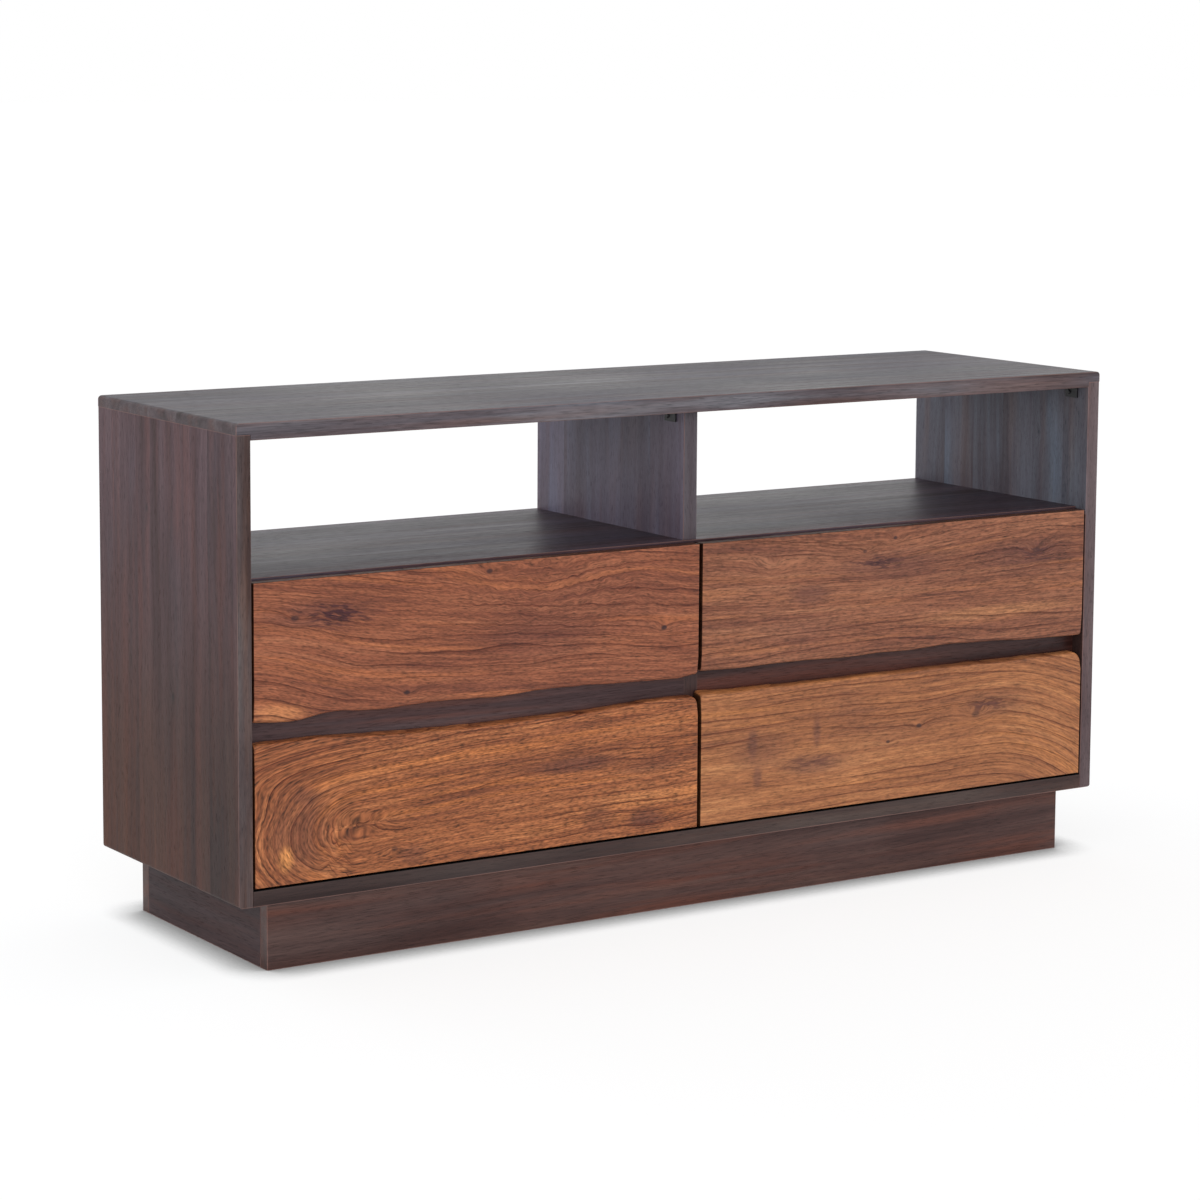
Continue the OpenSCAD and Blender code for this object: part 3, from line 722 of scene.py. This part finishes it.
def seen(t):
    """1 for the rays that show the surroundings: the camera's, mirror images and through glass."""
    path = t.node("LightPath")
    camera, glossy, clear = (Wire(t, path.outputs["Is " + kind + " Ray"])
                             for kind in ("Camera", "Glossy", "Transmission"))
    return t.math("MAXIMUM", t.math("MAXIMUM", camera, glossy), clear)


def make_world():
    """Even soft light from all around, which shows white."""
    world = bpy.data.worlds.new("studio")
    t = Tree(world)
    soft = t.wire("Background", {"Color": SKY, "Strength": SKY_STRENGTH})
    white = t.wire("Background", {"Color": (1.0, 1.0, 1.0), "Strength": 1.0})
    t.node("OutputWorld", {"Surface": t.wire("MixShader", {0: seen(t), 1: soft, 2: white})})
    bpy.context.scene.world = world


def make_lamp(name, kind, energy, colour, tilt, heading, place=(0.0, 0.0, 0.0), **settings):
    """A lamp that leaves no mirror image of itself. Its angles are in degrees."""
    light = bpy.data.lights.new(name, kind)
    light.energy = energy
    light.color = colour
    for key, value in settings.items():
        setattr(light, key, value)
    lamp = show(name, light)
    lamp.location = place
    lamp.rotation_euler = (math.radians(tilt), 0.0, math.radians(heading))
    lamp.visible_glossy = False


def paper(name):
    """White paper, which shows white except in the contact shadow next to the object."""
    t = new_tree(name)
    x, y, _ = t.point()
    mottle = t.noise(x * 1.3, y * 1.3, 0.0, 5.0, detail=3.0)
    open_sky = t.wire("AmbientOcclusion", {"Distance": CONTACT_REACH}, output="AO", samples=4)
    contact = open_sky ** CONTACT_POWER
    plain = t.wire("BsdfDiffuse", {"Color": t.tone(PAPER, 1.0 + (mottle - 0.5) * 0.02)})
    shaded = t.wire("BsdfDiffuse", {"Color": t.tone(SEEN_PAPER, contact)})
    glow = t.wire("Emission", {"Color": (1.0, 1.0, 1.0), "Strength": contact * PAPER_GLOW})
    shown = t.wire("AddShader", {0: shaded, 1: glow})
    t.node("OutputMaterial", {"Surface": t.wire("MixShader", {0: seen(t), 1: plain, 2: shown})})
    return t.block


def make_floor():
    """A floor of plain tiles, wider than any view."""
    mesh = bmesh.new()
    marks = [-FLOOR_REACH + 2 * FLOOR_REACH * i / FLOOR_TILES for i in range(FLOOR_TILES + 1)]
    grid = [[mesh.verts.new((x, y, 0.0)) for x in marks] for y in marks]
    for near, far in zip(grid, grid[1:]):
        for i in range(FLOOR_TILES):
            mesh.faces.new((near[i], near[i + 1], far[i + 1], far[i]))
    floor = show("floor", mesh_data("floor", mesh, paper("floor_paper")))


# Assembly

bpy.context.scene.view_settings.view_transform = "Standard"
make_camera()
make_world()
make_lamp("soft_key", "SUN", energy=1.2, colour=(1.0, 0.97, 0.94), tilt=76, heading=-20.6,
          angle=math.radians(36))
make_lamp("cool_fill", "AREA", energy=40.0, colour=(0.74, 0.87, 1.0), tilt=74, heading=-159,
          place=(-1.2, 4.0, 1.8), shape="RECTANGLE", size=3.0, size_y=2.0)
make_floor()

# Just under the shelf's upper face. Above it, the sides' inner faces are those of the cubbies.
CUBBY_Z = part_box("cubby_shelf")[1][2] - 0.01
# The bottom board's upper face, which is painted black as shade under the drawers
DRAWER_FLOOR_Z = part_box("bottom_panel")[1][2]

# Painted light: the top's cool wash is partly painted reflection; its face tints are painted light
stained("top_walnut", "xyz", 1.0, ["top_panel"], plank=0.092, wash=(0.4, 0.55, 0.86),
        faces=((FRONT, 0.0, (1.07, 1.65, 2.1)), (LEFT, 0.0, (0.75, 0.9, 1.1)),
               (RIGHT, 0.0, (0.75, 0.9, 1.1))),
        rough=0.45, patchy=2.2, soft=1.5)
# Painted light: outer face warm below and cool above, front and cubby faces lighter and cooler
stained("left_side_walnut", "zyx", 2.0, ["left_side_panel"], plank=0.075, wash=(0.9, 0.95, 0.95),
        faces=((LEFT, 0.0, (0.73, 0.48, 0.3), (1.19, 1.26, 1.62)), (FRONT, 0.0, (1.15, 1.73, 1.92)),
               (RIGHT, CUBBY_Z, (1.6, 2.4, 3.0))),
        red=0.36, rough=0.58, stretch=1.7, soft=0.95, worn=0.7,
        knots=((0.36, -0.02, 0.006), (0.45, 0.12, 0.004), (0.62, 0.06, 0.005)))
# Painted light: front and cubby faces lighter and cooler, the outer face warmer and darker
stained("right_side_walnut", "zyx", 3.0, ["right_side_panel"], plank=0.075, wash=(0.9, 0.95, 0.95),
        faces=((RIGHT, 0.0, (0.83, 0.64, 0.55)), (FRONT, 0.0, (1.88, 2.5, 2.95)),
               (LEFT, CUBBY_Z, (2.05, 3.8, 5.2))),
        red=0.24, rough=0.5, stretch=2.0, soft=0.6,
        knots=((0.30, 0.05, 0.006), (0.66, -0.1, 0.004)))
stained("bottom_walnut", "xyz", 4.0, ["bottom_panel"], plank=0.09, wash=(0.56, 0.6, 0.57),
        shade_black_above=DRAWER_FLOOR_Z)
# Painted light: the shelf's cool wash is partly painted reflection
stained("shelf_walnut", "xyz", 5.0, ["cubby_shelf"], plank=0.09, wash=(0.75, 0.94, 1.4),
        patchy=1.6, soft=1.15)
# Painted light: the strong cool wash stands for cool light in the cubbies; the front is lighter
stained("divider_walnut", "zyx", 6.0, ["cubby_divider"], plank=0.08, wash=(2.1, 3.2, 4.9),
        faces=((FRONT, 0.0, (1.1, 1.72, 2.25)), (BACK, 0.0, (0.9, 1.0, 1.0))),
        red=0.2, stretch=2.0, soft=0.55)
stained("partition_walnut", "zyx", 7.0, ["drawer_partition"], wash=(0.66, 0.6, 0.6), worn=0.2)
stained("left_rail_walnut", "xzy", 8.0, ["left_rail"], red=0.8, wash=(0.97, 1.03, 1.18))
stained("right_rail_walnut", "xzy", 9.0, ["right_rail"], red=0.8, wash=(0.77, 0.6, 0.56))
stained("plinth_walnut", "xzy", 10.0, ["plinth_front", "plinth_back"], red=0.6,
        wash=(1.04, 0.94, 0.86))
# Painted shade: the plinth ends are darker and cooler than its front, for shade under the body
stained("plinth_end_walnut", "yzx", 12.0, ["plinth_left", "plinth_right"],
        wash=(0.58, 0.55, 0.64), rough=0.58)

dress(pale_wood("back_plywood", "xzy", 21.0, PLY, layers=0.0018), "back_panel")
dress(pale_wood("brace_wood", "yzx", 22.0, PALE, rough=0.6), "plinth_braces", "plinth_glue_blocks")
plate = zinc("zinc_plate")
dress(plate, "back_panel_screws")
# Seeds of the drawer boxes' grain
BOX_SEEDS = {"left": 3.7, "right": 4.07}
for drawer in WAVES:
    seed = BOX_SEEDS[drawer.split("_")[1]]
    dress(pale_wood(drawer + "_end_wood", "xzy", 23.0 + seed, PALE),
          drawer + "_box_front", drawer + "_box_back")
    dress(pale_wood(drawer + "_side_wood", "yzx", 27.0 + seed, PALE),
          drawer + "_box_left", drawer + "_box_right")
    dress(pale_wood(drawer + "_bottom_plywood", "xyz", 31.0 + seed, PLY, layers=0.0012),
          drawer + "_box_bottom")
    dress(plate, drawer + "_slide_cabinet", drawer + "_slide_middle", drawer + "_slide_drawer",
          drawer + "_front_screws")
dress(powder_coat("black_coat"), "corner_brackets", "bracket_screws")

make_front("upper_left", live_wood(
    "upper_left_grain", 41.0, tilt=0.06, soft=0.8, wash=(1.0, 0.99, 1.05),
    swirls=((-740, 440, 130, 130, -30), (-300, 520, 130, 50, 22), (-110, 500, 100, 60, -14)),
    curls=((-250, 500, 190, 60, 22), (-640, 495, 60, 30, 8), (-560, 370, 160, 30, 5)),
    eyes=((-674, 494, 5, 0.7), (-498, 374, 4, 0.9), (-363, 535, 4, 0.8), (-65, 428, 4, 0.9)),
    shades=((-640, 496, 90, 22, 0.45), (-700, 362, 44, 16, -0.55), (-280, 430, 100, 40, 0.25),
            (-200, 470, 200, 60, 0.2)),
    dashes=((-606, 494, 66, 24, 0.9),)))
make_front("upper_right", live_wood(
    "upper_right_grain", 42.0, tilt=0.01, soft=0.8, wash=(0.93, 1.05, 1.19),
    swirls=((128, 501, 34, 14, 13), (330, 520, 200, 60, 22)),
    curls=((120, 490, 110, 50, 5), (620, 490, 90, 30, 12)),
    eyes=((302, 513, 3, 0.6), (360, 530, 3, 0.8), (640, 490, 6, 0.4)),
    shades=((620, 485, 100, 30, 0.4), (560, 400, 160, 10, -0.35), (360, 490, 120, 22, 0.4),
            (200, 455, 40, 16, 0.5)),
    dashes=((330, 494, 60, 12, 0.8), (640, 484, 50, 18, 0.6))))
make_front("lower_left", live_wood(
    "lower_left_grain", 43.0, heart=(-574, -560, 192, 0.03, 0.62, 0.0),
    fine=1.35, soft=0.85, wash=(1.17, 1.2, 0.99),
    swirls=((-566, 193, 36, 14, 15),),
    curls=((-450, 180, 120, 30, 5),),
    eyes=((-518, 153, 4, 0.6),),
    shades=((-672, 190, 52, 66, 0.55), (-660, 245, 22, 14, 0.5), (-690, 158, 12, 18, -0.6),
            (-215, 240, 84, 15, 0.7), (-90, 226, 60, 16, 0.45), (-95, 147, 36, 15, 0.75),
            (-180, 158, 30, 24, 0.45), (-490, 142, 26, 14, 0.5))))
make_front("lower_right", live_wood(
    "lower_right_grain", 44.0, heart=(0, 540, -60, 0.0, 0.0, 0.86),
    fine=0.8, soft=0.64, wash=(1.37, 1.62, 1.42),
    curls=((545, 250, 70, 20, 10),),
    eyes=((412, 233, 4, 0.8), (352, 214, 3, 0.8), (524, 240, 6, 0.5)),
    shades=((110, 225, 60, 30, 0.4), (210, 196, 60, 16, 0.5), (560, 255, 80, 22, 0.35),
            (97, 237, 10, 26, 0.6), (216, 243, 8, 28, 0.6), (106, 185, 9, 18, 0.6)),
    dashes=((545, 252, 46, 14, 0.7), (200, 200, 60, 14, 0.5))))
